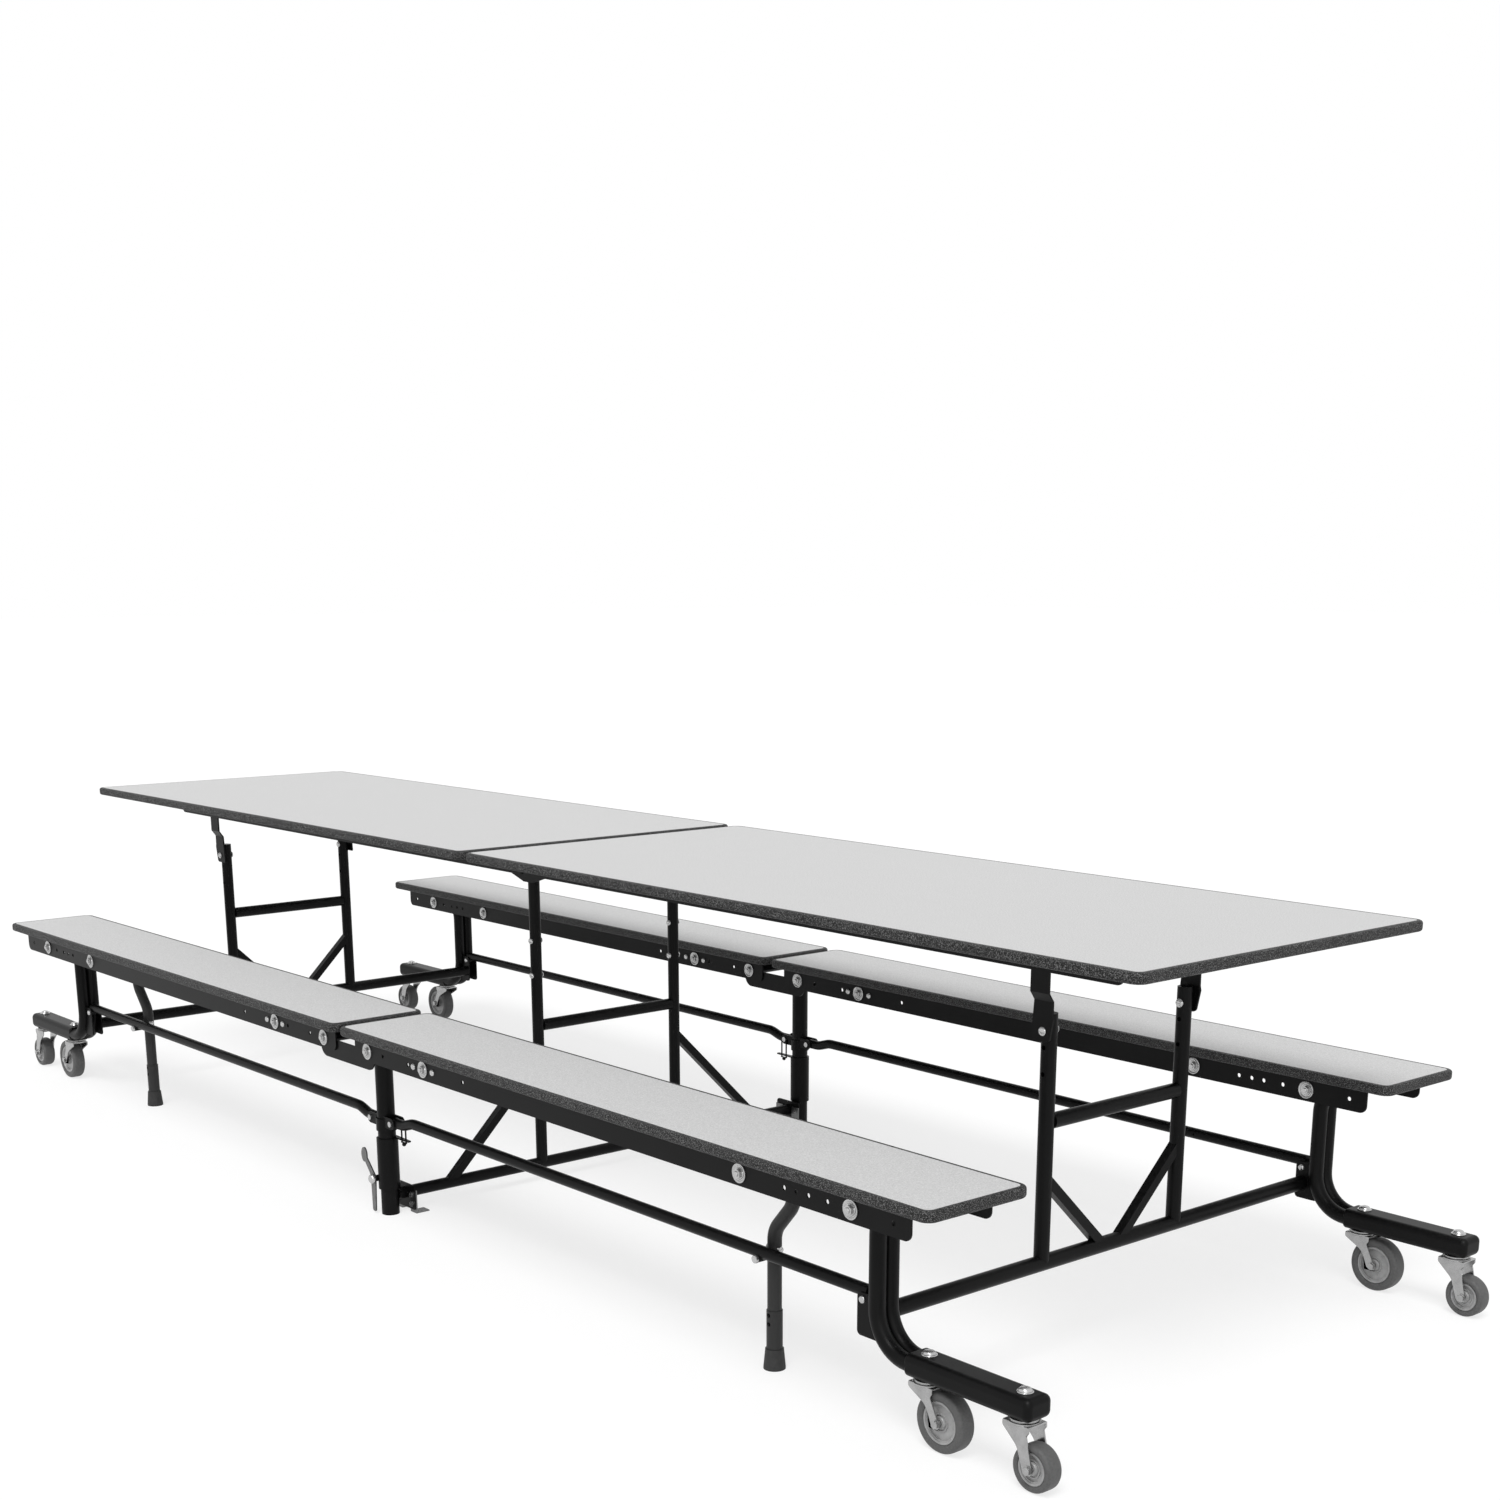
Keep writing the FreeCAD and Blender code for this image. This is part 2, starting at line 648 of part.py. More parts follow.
def end_bolts():
    """Bolts of the near right quarter of an end frame: strap, stretcher and casters."""
    x = table_outer_pivot_x
    strap_face = -strap_lower_inner_y - strap_sheet
    back = -end_upright_y + end_tube
    strap = union([
        rod_y(x, strap_pivot_z, small_bolt_radius + 1, strap_face, back),
        rod_y(x, strap_pivot_z, small_head_radius + 1, strap_face - small_head_height, strap_face),
        rod_y(x, strap_pivot_z, small_head_radius, back, back + small_head_height),
    ])
    low = -bench_y - lug_outer
    high = -bench_y + lug_outer
    pivot = union([
        rod_y(stretcher_outer_pivot_x, stretcher_pivot_z, small_bolt_radius, low, high),
        rod_y(stretcher_outer_pivot_x, stretcher_pivot_z, small_head_radius, low - small_head_height, low),
    ])
    bolts = [strap, pivot]
    top = arm_z + arm_height / 2
    for stem_x in (big_stem_x, small_stem_x):
        stem = rod(V(stem_x, -bench_y, arm_z - arm_height / 2), V(stem_x, -bench_y, top), small_bolt_radius + 2)
        sphere_radius = (dome_radius ** 2 + dome_height ** 2) / (2 * dome_height)
        ball = Part.makeSphere(sphere_radius, V(stem_x, -bench_y, top + dome_height - sphere_radius))
        cap = ball.common(box(stem_x - 30, stem_x + 30, -bench_y - 30, -bench_y + 30, top, top + 20))
        bolts.append(union([stem, cap]))
    return bolts


# ---------------------------------------------------------------- casters
def caster(stem_x, trail, radius):
    """Fork and wheel of one swivel caster under the near right arm."""
    axle_x = stem_x + trail
    half = wheel_width / 2
    inside = half + fork_gap
    outside = inside + fork_sheet
    arm_bottom = arm_z - arm_height / 2
    race_top = arm_bottom - side_gap
    crown_top = race_top - race_height
    crown_bottom = crown_top - crown_sheet
    upper = rod(V(stem_x, -bench_y, crown_top), V(stem_x, -bench_y, race_top), race_radius - 4)
    lip = rod(V(stem_x, -bench_y, crown_top), V(stem_x, -bench_y, crown_top + race_height / 3), race_radius)
    disc = rod(V(stem_x, -bench_y, crown_bottom), V(stem_x, -bench_y, crown_top), race_radius)
    front = race_radius - 1
    shoulder = crown_bottom - 7
    cheek_corners = [
        (stem_x - front, crown_bottom, 0),
        (stem_x - front, shoulder, 6),
        (axle_x - fork_foot, radius - 9, 9),
        (axle_x + fork_foot, radius - 9, 9),
        (stem_x + front + 4, shoulder, 5),
        (stem_x + front + 2, crown_bottom, 0),
    ]
    parts = [upper, lip, disc]
    for y0 in (-bench_y - outside, -bench_y + inside):
        parts.append(plate_xz(cheek_corners, y0, fork_sheet))
    bridge = box(stem_x - front, stem_x + front + 2, -bench_y - outside, -bench_y + outside, crown_bottom, crown_top)
    parts.append(bridge)
    parts.append(rod_y(axle_x, radius, axle_radius, -bench_y - outside - 3, -bench_y + outside + 3))
    tread = radius * 0.72
    profile = [
        (axle_radius + pin_clearance, -half + 2, 0),
        (tread * 0.45, -half + 2, 0),
        (tread * 0.55, -half + 6, 0),
        (tread * 0.90, -half + 6, 0),
        (tread, -half + 1, 0),
        (radius - 3, -half, 0),
        (radius, -half + 4, 0),
        (radius, half - 4, 0),
        (radius - 3, half, 0),
        (tread, half - 1, 0),
        (tread * 0.90, half - 6, 0),
        (tread * 0.55, half - 6, 0),
        (tread * 0.45, half - 2, 0),
        (axle_radius + pin_clearance, half - 2, 0),
    ]
    face = rounded_outline(profile, lambda u, v: V(axle_x + u, -bench_y + v, radius))
    wheel = face.revolve(V(axle_x, -bench_y, radius), V(0, 1, 0), 360)
    return union(parts), wheel


# ---------------------------------------------------------------- centre frame
def centre_leg_base():
    """Lower part of the near centre leg: tube, lock sleeve, glide plate and tabs."""
    y = -bench_y
    foot = rod(V(0, y, 0), V(0, y, sleeve_bottom), post_radius)
    sleeve = rod(V(0, y, sleeve_bottom), V(0, y, sleeve_top), sleeve_radius)
    bore = rod(V(0, y, sleeve_bottom + sleeve_floor), V(0, y, sleeve_top + 1), post_radius + pin_clearance)
    inner_bore = rod(V(0, y, 6), V(0, y, sleeve_bottom), post_radius - post_wall)
    plate_y = y + post_radius + 17
    corners = [
        (-glide_inner_x - glide_width, 8, 4),
        (glide_inner_x + glide_width, 8, 4),
        (glide_inner_x + glide_width, 62, 8),
        (-glide_inner_x - glide_width, 62, 8),
    ]
    glide_plate = plate_xz(corners, plate_y, lug_sheet)
    tab = plate_xy(
        [
            (0, lock_pin_y - 6, 0),
            (lock_tab_end, lock_pin_y - 4, 2),
            (lock_tab_end, lock_pin_y + 4, 2),
            (0, lock_pin_y + 6, 0),
        ],
        sleeve_top - lock_tab_sheet + 1,
        lock_tab_sheet,
    )
    body = union([foot, sleeve, glide_plate, tab]).cut(bore).cut(inner_bore)
    pin_bores = [rod(V(x, lock_pin_y, sleeve_bottom), V(x, lock_pin_y, stretcher_pivot_z), lock_pin_radius + pin_clearance) for x in lock_pin_x]
    body = body.cut(Part.makeCompound(pin_bores))
    for side in (-1, 1):
        x = side * (glide_inner_x + glide_width / 2)
        for z in (20.0, 40.0):
            body = body.cut(rod_y(x, z, small_bolt_radius, plate_y - 1, plate_y + 10))
    return body


def lever_boss_on_sleeve():
    """Short boss on the outside of the near sleeve that carries the lock lever."""
    face = -lever_y + lever_sheet / 2 + side_gap
    boss = rod_y(-lever_pivot_x, lever_pivot_z, lever_boss, face, -bench_y)
    boss = boss.cut(rod(V(0, -bench_y, sleeve_bottom), V(0, -bench_y, sleeve_top), post_radius + pin_clearance))
    boss = boss.common(box(-lever_pivot_x - lever_boss, 0, face, -bench_y - sleeve_radius / 3, sleeve_bottom, sleeve_top))
    return boss.cut(rod_y(-lever_pivot_x, lever_pivot_z, lever_pin, face - 1, -bench_y))


def hinge_plate():
    """Table hinge plate on the outside of the near centre upright."""
    y_low = -strap_upper_outer_y
    low = table_underside - rail_depth
    corners = [
        (-light_tube - 4, low - 15, 4),
        (light_tube + 4, low - 15, 4),
        (hinge_plate_reach, low - 1, 3),
        (table_pivot_x + hinge_plate_lug, table_pivot_z + hinge_plate_lug, hinge_plate_lug - 1),
        (-table_pivot_x - hinge_plate_lug, table_pivot_z + hinge_plate_lug, hinge_plate_lug - 1),
        (-hinge_plate_reach, low - 1, 3),
    ]
    plate = plate_xz(corners, y_low, saddle_sheet)
    drills = [rod_y(s * table_pivot_x, table_pivot_z, pivot_bore, y_low - 1, y_low + 5) for s in (-1, 1)]
    return plate.cut(Part.makeCompound(drills))


def centre_upright():
    """Near centre upright with its brace and hinge plate."""
    y = -centre_upright_y
    post = rod(V(0, y, centre_cross_z), V(0, y, centre_upright_top), light_tube)
    foot = V(0, -centre_brace_foot_y, centre_cross_z + light_tube - 3)
    top = V(0, y - light_tube + 3, centre_brace_top)
    bore = rod(V(0, y, centre_cross_z + light_tube), V(0, y, centre_upright_top + 1), light_tube - tube_wall)
    return union([post, brace(foot, top), hinge_plate()]).cut(bore)


def centre_frame():
    """Weldment that joins both centre legs and carries the table at the seam."""
    leg = centre_leg_base()
    upright = centre_upright()
    cross_end = bench_y - post_radius + 1.5
    cross = rod(V(0, -cross_end, centre_cross_z), V(0, cross_end, centre_cross_z), light_tube)
    rung_end = centre_upright_y - light_tube + 1.5
    rung = rod(V(0, -rung_end, centre_rung_z), V(0, rung_end, centre_rung_z), light_tube)
    return union([leg, turned(leg), upright, mirror_y(upright), cross, rung, lever_boss_on_sleeve()])


def hinge_post():
    """Near bench hinge post: folded saddle with two pivot tubes on an inner leg tube."""
    y = -bench_y
    mid_top = bench_pivot_z + 1
    lug_x = bench_pivot_x + saddle_lug
    corners = [
        (-lug_x, saddle_bottom, 24),
        (lug_x, saddle_bottom, 24),
        (lug_x, bench_pivot_z + saddle_lug, saddle_lug - 1),
        (bench_pivot_x - saddle_lug - 6, bench_pivot_z + saddle_lug, 10),
        (bench_pivot_x - saddle_lug - 16, mid_top, 8),
        (-bench_pivot_x + saddle_lug + 16, mid_top, 8),
        (-bench_pivot_x + saddle_lug + 6, bench_pivot_z + saddle_lug, 10),
        (-lug_x, bench_pivot_z + saddle_lug, saddle_lug - 1),
    ]
    shapes = []
    for y0 in (y - post_half_width, y + post_half_width - saddle_sheet):
        shapes.append(plate_xz(corners, y0, saddle_sheet))
    floor_half = saddle_floor_half
    shapes.append(box(-floor_half, floor_half, y - post_half_width, y + post_half_width, saddle_bottom, saddle_bottom + saddle_sheet))
    for side in (-1, 1):
        shapes.append(rod_y(side * bench_pivot_x, bench_pivot_z, pivot_tube, y - post_half_width, y + post_half_width))
    post_bottom = sleeve_bottom + sleeve_floor + side_gap
    shapes.append(rod(V(0, y, post_bottom), V(0, y, saddle_bottom + 1), post_radius))
    body = union(shapes)
    body = body.cut(rod(V(0, y, sleeve_bottom - 1), V(0, y, saddle_bottom + 10), post_radius - post_wall))
    for side in (-1, 1):
        body = body.cut(rod_y(side * bench_pivot_x, bench_pivot_z, pivot_bore, y - 100, y + 100))
    return body


def leg_collar():
    """Near collar that carries the inner ends of two stretchers."""
    y = -bench_y
    low = collar_bottom
    ring = rod(V(0, y, low), V(0, y, low + collar_height), post_radius + collar_sheet)
    shapes = [ring]
    x = stretcher_pivot_x
    for y0 in (y - lug_outer, y + lug_inner):
        for side in (-1, 1):
            xs = sorted((0, side * x))
            shapes.append(box(*xs, y0, y0 + lug_sheet, stretcher_pivot_z - lug_round, stretcher_pivot_z + lug_round))
            shapes.append(rod_y(side * x, stretcher_pivot_z, lug_round, y0, y0 + lug_sheet))
    body = union(shapes)
    body = body.cut(rod(V(0, y, low - 1), V(0, y, stretcher_pivot_z + lug_round + 1), post_radius))
    drills = [rod_y(s * x, stretcher_pivot_z, small_bolt_radius, y - 20, y + 20) for s in (-1, 1)]
    return body.cut(Part.makeCompound(drills))


def centre_bolts():
    """Bolts of the near centre leg: stretcher pivots and glide bolts."""
    y = -bench_y
    bolts = []
    for side in (-1, 1):
        x = side * stretcher_pivot_x
        bolts.append(union([
            rod_y(x, stretcher_pivot_z, small_bolt_radius, y - lug_outer, y + lug_outer),
            rod_y(x, stretcher_pivot_z, small_head_radius, y - lug_outer - small_head_height, y - lug_outer),
            rod_y(x, stretcher_pivot_z, small_head_radius, y + lug_outer, y + lug_outer + small_head_height),
        ]))
        plate_y = y + post_radius + 17
        x = side * (glide_inner_x + glide_width / 2)
        for z in (20.0, 40.0):
            bolts.append(union([
                rod_y(x, z, small_bolt_radius, plate_y, plate_y + lug_sheet + glide_sheet),
                rod_y(x, z, small_head_radius, plate_y - small_head_height, plate_y),
            ]))
    return bolts


def lever_bolt():
    """Pin of the lock lever with a low domed head."""
    outer = -lever_y - lever_sheet / 2 - side_gap
    shank = rod_y(-lever_pivot_x, lever_pivot_z, lever_pin, outer, -lever_y + lever_sheet / 2 + 3)
    sphere_radius = (lever_head ** 2 + 3.5 ** 2) / (2 * 3.5)
    ball = Part.makeSphere(sphere_radius, V(-lever_pivot_x, outer - 3.5 + sphere_radius, lever_pivot_z))
    cap = ball.common(rod_y(-lever_pivot_x, lever_pivot_z, lever_head, outer - 4, outer))
    return union([shank, cap])


def floor_glides():
    """Two steel angles under the near centre leg that stand on the floor."""
    y0 = -bench_y + post_radius + 17 + lug_sheet
    glides = []
    for side in (-1, 1):
        xs = sorted((side * glide_inner_x, side * (glide_inner_x + glide_width)))
        wall = box(*xs, y0, y0 + glide_sheet, 0, glide_height)
        sole = box(*xs, y0, y0 + glide_foot, 0, glide_sheet)
        x = side * (glide_inner_x + glide_width / 2)
        drills = [rod_y(x, z, small_bolt_radius, y0 - 1, y0 + 10) for z in (20.0, 40.0)]
        glides.append(union([wall, sole]).cut(Part.makeCompound(drills)))
    return glides


def lock_pin():
    """Bail of thin wire beside the near stretcher, with a round pull under the tab."""
    top = stretcher_pivot_z
    low = sleeve_top - lock_tab_sheet - 3
    wires = [rod(V(x, lock_pin_y, low), V(x, lock_pin_y, top), lock_pin_radius) for x in lock_pin_x]
    x0, x1 = lock_pin_x
    cross = box(x0 - lock_pin_radius, x1 + lock_pin_radius, lock_pin_y - lock_pin_radius, lock_pin_y + lock_pin_radius, low - 2, low)
    knob = Part.makeSphere(lock_knob, V((x0 + x1) / 2, lock_pin_y, low - lock_knob))
    return union(wires + [cross, knob])


def lock_lever():
    """Near lock lever: oval paddle above its pin, straight toe down beside the leg foot."""
    y_low = -lever_y - lever_sheet / 2
    x = -lever_pivot_x
    z = lever_pivot_z
    corners = [
        (x - 9, z - 3, 5),
        (x - 7, 6.0, 4),
        (x + 5, 4.0, 4),
        (x + 9, z - 4, 6),
        (x + 8, z + 9, 6),
        (-paddle_x + 8, paddle_z - 2, 5),
        (-paddle_x - 5, paddle_z - 6, 5),
        (x - 12, z + 10, 8),
    ]
    arm = plate_xz(corners, y_low, lever_sheet)
    oval = Part.Ellipse(V(0, 0, 0), paddle_half_height, paddle_half_width)
    face = Part.Face(Part.Wire([oval.toShape()]))
    face.rotate(V(0, 0, 0), V(1, 0, 0), 90)
    face.rotate(V(0, 0, 0), V(0, 1, 0), 90)
    face.translate(V(-paddle_x, y_low, paddle_z))
    paddle = face.extrude(V(0, lever_sheet, 0))
    body = union([arm, paddle])
    return body.cut(rod_y(x, z, lever_pin + pin_clearance, y_low - 1, y_low + 10))


# ---------------------------------------------------------------- assembly of the nodes
def write(name, shapes):
    """Write one named sub-part as a STEP file."""
    solids = []
    for shape in shapes:
        solids += shape.Solids
    whole = solids[0] if len(solids) == 1 else Part.makeCompound(solids)
    whole.exportStep("parts/" + name + ".step")


def quarter_copies(shapes):
    """The near right shapes, and their copies in the other three quarters."""
    near_left = [mirror_x(s) for s in shapes]
    return {
        "near_right": shapes,
        "near_left": near_left,
        "far_right": [mirror_y(s) for s in shapes],
        "far_left": [mirror_y(s) for s in near_left],
    }


def write_quarters(name, shapes):
    """One node in each quarter of the table."""
    for place, copies in quarter_copies(shapes).items():
        write(name + "_" + place, copies)


def write_halves(name, shapes):
    """One node in the right half and its mirror image in the left half."""
    write(name + "_right", shapes)
    write(name + "_left", [mirror_x(s) for s in shapes])


os.makedirs("parts", exist_ok=True)

half_seam = seam_gap / 2
bench_low_y = -bench_y - bench_width / 2
bench_high_y = -bench_y + bench_width / 2
bench_plan = (half_seam, half_seam + bench_half_length, bench_low_y, bench_high_y, bench_height)
table_plan = (half_seam, half_seam + table_half_length, -table_width / 2, table_width / 2, table_height)

write_halves("table_board", [board_core(*table_plan)])
write_halves("table_edge", [board_band(*table_plan)])
write_halves("table_rails", table_rails())
write_quarters("bench_board", [board_core(*bench_plan)])
write_quarters("bench_edge", [board_band(*bench_plan)])
write_quarters("bench_rails", bench_rails())
write_quarters("bench_bolts", bench_bolts())
near_stretcher = stretcher(True)
far_stretcher = mirror_y(stretcher(False))
leg_parts = mid_leg()
write_halves("stretcher_near", [near_stretcher])
write_halves("stretcher_far", [far_stretcher])
write_halves("mid_leg_near", leg_parts)

write_halves("end_frame", [end_frame()])
strap = hinge_strap()
write_halves("hinge_straps", [strap, mirror_y(strap)])
quarter_bolts = end_bolts()
write_halves("end_frame_bolts", quarter_bolts + [mirror_y(s) for s in quarter_bolts])

for label, stem, trail, radius in (
    ("inner", big_stem_x, big_trail, big_wheel),
    ("outer", small_stem_x, small_trail, small_wheel),
):
    fork, wheel = caster(stem, trail, radius)
    write_quarters("fork_" + label, [fork])
    write_quarters("wheel_" + label, [wheel])

write("centre_frame", [centre_frame()])
post = hinge_post()
write("bench_hinge_posts", [post, turned(post)])
collar = leg_collar()
write("leg_collars", [collar, turned(collar)])
near_bolts = centre_bolts()
write("centre_bolts", near_bolts + [turned(s) for s in near_bolts] + [lever_bolt()])
near_glides = floor_glides()
write("floor_glides", near_glides + [turned(s) for s in near_glides])
near_pin = lock_pin()
write("lock_pins", [near_pin, turned(near_pin)])
write("lock_lever", [lock_lever()])
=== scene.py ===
import bpy
import bmesh
import math
from mathutils import Matrix, Vector


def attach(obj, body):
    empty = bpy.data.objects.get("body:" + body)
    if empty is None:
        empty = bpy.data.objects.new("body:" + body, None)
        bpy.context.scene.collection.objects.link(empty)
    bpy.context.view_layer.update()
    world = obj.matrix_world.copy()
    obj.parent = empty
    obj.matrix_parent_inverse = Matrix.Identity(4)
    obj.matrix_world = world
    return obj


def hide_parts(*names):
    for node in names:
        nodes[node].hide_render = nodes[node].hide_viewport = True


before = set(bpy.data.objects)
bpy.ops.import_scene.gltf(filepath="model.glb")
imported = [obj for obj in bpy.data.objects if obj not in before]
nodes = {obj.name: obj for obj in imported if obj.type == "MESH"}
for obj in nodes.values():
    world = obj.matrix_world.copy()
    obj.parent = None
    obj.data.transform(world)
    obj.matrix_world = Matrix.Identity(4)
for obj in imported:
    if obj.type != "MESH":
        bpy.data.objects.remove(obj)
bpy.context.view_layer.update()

# ---------------------------------------------------------------- studio
# A plain white room: a broad soft lamp overhead, a weaker low one from the near
# right and an even pale sky, so that the black frames keep soft highlights.
scene = bpy.context.scene
scene.view_settings.view_transform = "Standard"

camera_data = bpy.data.cameras.new("camera")
camera_data.lens = 50.0
camera_data.sensor_width = 36.0
camera_data.shift_x = -0.00699
camera_data.shift_y = 0.26453
camera_data.clip_end = 200.0
azimuth = math.radians(49.40166)
look_down = math.radians(15.40416)
roll = math.radians(0.0588)
camera = bpy.data.objects.new("camera", camera_data)
camera.rotation_mode = "XYZ"
camera.location = (3.77113, -2.77124, 1.32697)
camera.rotation_euler = (math.pi / 2 - look_down, roll, azimuth)
scene.collection.objects.link(camera)
scene.camera = camera


def add_sun(name, strength, spread, direction):
    """One soft distant lamp that shines along a direction."""
    data = bpy.data.lights.new(name, "SUN")
    data.energy = strength
    data.angle = math.radians(spread)
    lamp = bpy.data.objects.new(name, data)
    lamp.rotation_euler = Vector(direction).to_track_quat("-Z", "Y").to_euler()
    scene.collection.objects.link(lamp)


add_sun("overhead", strength=1.85, spread=26.0, direction=(-0.30, 0.42, -1.0))
add_sun("low", strength=0.45, spread=40.0, direction=(-0.75, 0.55, -0.45))


def seen_share(tree):
    """1 for rays that show the background: camera, glossy and transmission rays."""
    rays = tree.nodes.new("ShaderNodeLightPath")
    share = rays.outputs["Is Camera Ray"]
    for kind in ("Is Glossy Ray", "Is Transmission Ray"):
        widest = tree.nodes.new("ShaderNodeMath")
        widest.operation = "MAXIMUM"
        tree.links.new(share, widest.inputs[0])
        tree.links.new(rays.outputs[kind], widest.inputs[1])
        share = widest.outputs[0]
    return share


def mix_surface(tree, share, lit, shown, target):
    """A lit shader and one that is shown to a share of the rays, joined to a target."""
    mix = tree.nodes.new("ShaderNodeMixShader")
    tree.links.new(share, mix.inputs["Fac"])
    tree.links.new(lit, mix.inputs[1])
    tree.links.new(shown, mix.inputs[2])
    tree.links.new(mix.outputs[0], target)


world = bpy.data.worlds.new("room")
world.use_nodes = True
scene.world = world
room = world.node_tree
room.nodes.clear()


def room_light(strength):
    """White background light of one strength."""
    light = room.nodes.new("ShaderNodeBackground")
    light.inputs["Color"].default_value = (1.0, 1.0, 1.0, 1.0)
    light.inputs["Strength"].default_value = strength
    return light.outputs[0]


pale_sky = room_light(0.60)
shown_white = room_light(1.0)
room_out = room.nodes.new("ShaderNodeOutputWorld")
mix_surface(room, seen_share(room), pale_sky, shown_white, room_out.inputs["Surface"])

# ---------------------------------------------------------------- floor
# A wide matt floor of white paper.  It shows mostly its own white and partly the
# lamps, so that the soft shadow of the table stays on it.
paper_share = 0.74

floor_mesh = bmesh.new()
bmesh.ops.create_grid(floor_mesh, x_segments=1, y_segments=1, size=60.0)
floor_data = bpy.data.meshes.new("floor")
floor_mesh.to_mesh(floor_data)
floor_mesh.free()
floor = bpy.data.objects.new("floor", floor_data)
scene.collection.objects.link(floor)

floor_finish = bpy.data.materials.new("white_floor")
floor_finish.use_nodes = True
floor_tree = floor_finish.node_tree
matt = floor_tree.nodes["Principled BSDF"]
matt.inputs["Base Color"].default_value = (0.98, 0.98, 0.98, 1.0)
matt.inputs["Roughness"].default_value = 0.9
matt.inputs["Specular IOR Level"].default_value = 0.0
paper = floor_tree.nodes.new("ShaderNodeEmission")
paper.inputs["Strength"].default_value = 1.0
shown_share = floor_tree.nodes.new("ShaderNodeMath")
shown_share.operation = "MULTIPLY"
shown_share.inputs[1].default_value = paper_share
floor_tree.links.new(seen_share(floor_tree), shown_share.inputs[0])
surface = floor_tree.nodes["Material Output"].inputs["Surface"]
mix_surface(floor_tree, shown_share.outputs[0], matt.outputs[0], paper.outputs[0], surface)
floor_data.materials.append(floor_finish)

# The casters stay on the floor while the table folds, so the floor keeps to an end frame.
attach(floor, "left_end_frame")


# ---------------------------------------------------------------- boards
# Table and bench tops are wood boards faced on both sides with a pale grey
# laminate, pressed with a fine fleck, smooth and slightly satin to the touch.
def new_finish(name):
    """Material with an Object coordinate source, returned with its tree and shader."""
    finish = bpy.data.materials.new(name)
    finish.use_nodes = True
    tree = finish.node_tree
    shader = tree.nodes["Principled BSDF"]
    place = tree.nodes.new("ShaderNodeTexCoord")
    return finish, tree, shader, place.outputs["Object"]


def grain(tree, source, scale, detail, roughness):
    """Noise of a given scale per metre."""
    noise = tree.nodes.new("ShaderNodeTexNoise")
    noise.inputs["Scale"].default_value = scale
    noise.inputs["Detail"].default_value = detail
    noise.inputs["Roughness"].default_value = roughness
    tree.links.new(source, noise.inputs["Vector"])
    return noise.outputs["Fac"]


def grey(level):
    """Neutral colour of one brightness."""
    return (level, level, level)


def colour_by(tree, shader, pattern, stops):
    """Base colour that follows a pattern through (place, colour) stops."""
    node = tree.nodes.new("ShaderNodeValToRGB")
    elements = node.color_ramp.elements
    while len(elements) < len(stops):
        elements.new(0.5)
    for element, (position, colour) in zip(elements, stops):
        element.position = position
        element.color = (*colour, 1.0)
    tree.links.new(pattern, node.inputs["Fac"])
    tree.links.new(node.outputs["Color"], shader.inputs["Base Color"])


def roughness_by(tree, shader, pattern, smooth, rough):
    """Roughness that follows a pattern."""
    spread = tree.nodes.new("ShaderNodeMapRange")
    spread.inputs["To Min"].default_value = smooth
    spread.inputs["To Max"].default_value = rough
    tree.links.new(pattern, spread.inputs["Value"])
    tree.links.new(spread.outputs["Result"], shader.inputs["Roughness"])


def raise_by(tree, shader, pattern, strength, distance):
    """Small bumps that follow a pattern."""
    bump = tree.nodes.new("ShaderNodeBump")
    bump.inputs["Strength"].default_value = strength
    bump.inputs["Distance"].default_value = distance
    tree.links.new(pattern, bump.inputs["Height"])
    tree.links.new(bump.outputs["Normal"], shader.inputs["Normal"])


def dress(beginnings, finish):
    """Gives a finish to the frame's nodes whose names begin with one of the words."""
    for name, node in nodes.items():
        if name.startswith(beginnings):
            node.data.materials.clear()
            node.data.materials.append(finish)


laminate, tree, shader, place = new_finish("grey_laminate")
fleck = grain(tree, place, scale=420.0, detail=3.0, roughness=0.65)
sheen = grain(tree, place, scale=35.0, detail=4.0, roughness=0.5)
colour_by(tree, shader, fleck, [
    (0.30, grey(0.45)), (0.44, grey(0.525)), (0.56, grey(0.575)), (0.72, grey(0.70)),
])
shader.inputs["Specular IOR Level"].default_value = 0.12
roughness_by(tree, shader, sheen, smooth=0.52, rough=0.66)
raise_by(tree, shader, fleck, strength=0.08, distance=0.0004)

dress(("table_board", "bench_board"), laminate)

# ---------------------------------------------------------------- board edges
# The rim of each board is sealed with a sprayed dark grey urethane band that
# wraps over the top by a finger's width and is granular to look at and touch.
edge_band, tree, shader, place = new_finish("granular_edge")
speck = grain(tree, place, scale=620.0, detail=1.0, roughness=0.5)
colour_by(tree, shader, speck, [
    (0.38, grey(0.004)), (0.50, grey(0.013)), (0.57, grey(0.042)), (0.64, grey(0.135)),
])
shader.inputs["Roughness"].default_value = 0.60
shader.inputs["Specular IOR Level"].default_value = 0.25
raise_by(tree, shader, speck, strength=0.4, distance=0.0006)

dress(("table_edge", "bench_edge"), edge_band)


# ---------------------------------------------------------------- frames
# Rails, tubes, braces and brackets are steel, welded and powder coated in a
# satin black with the slight orange peel of a baked coat.
def powder_coat(name, dark, pale, specular, smooth, rough):
    """Baked coat: slow clouds of colour under a fine orange peel."""
    coat, tree, shader, place = new_finish(name)
    peel = grain(tree, place, scale=520.0, detail=2.0, roughness=0.5)
    cloud = grain(tree, place, scale=9.0, detail=3.0, roughness=0.5)
    colour_by(tree, shader, cloud, [(0.30, dark), (0.70, pale)])
    shader.inputs["Specular IOR Level"].default_value = specular
    roughness_by(tree, shader, peel, smooth, rough)
    raise_by(tree, shader, peel, strength=0.10, distance=0.0003)
    return coat


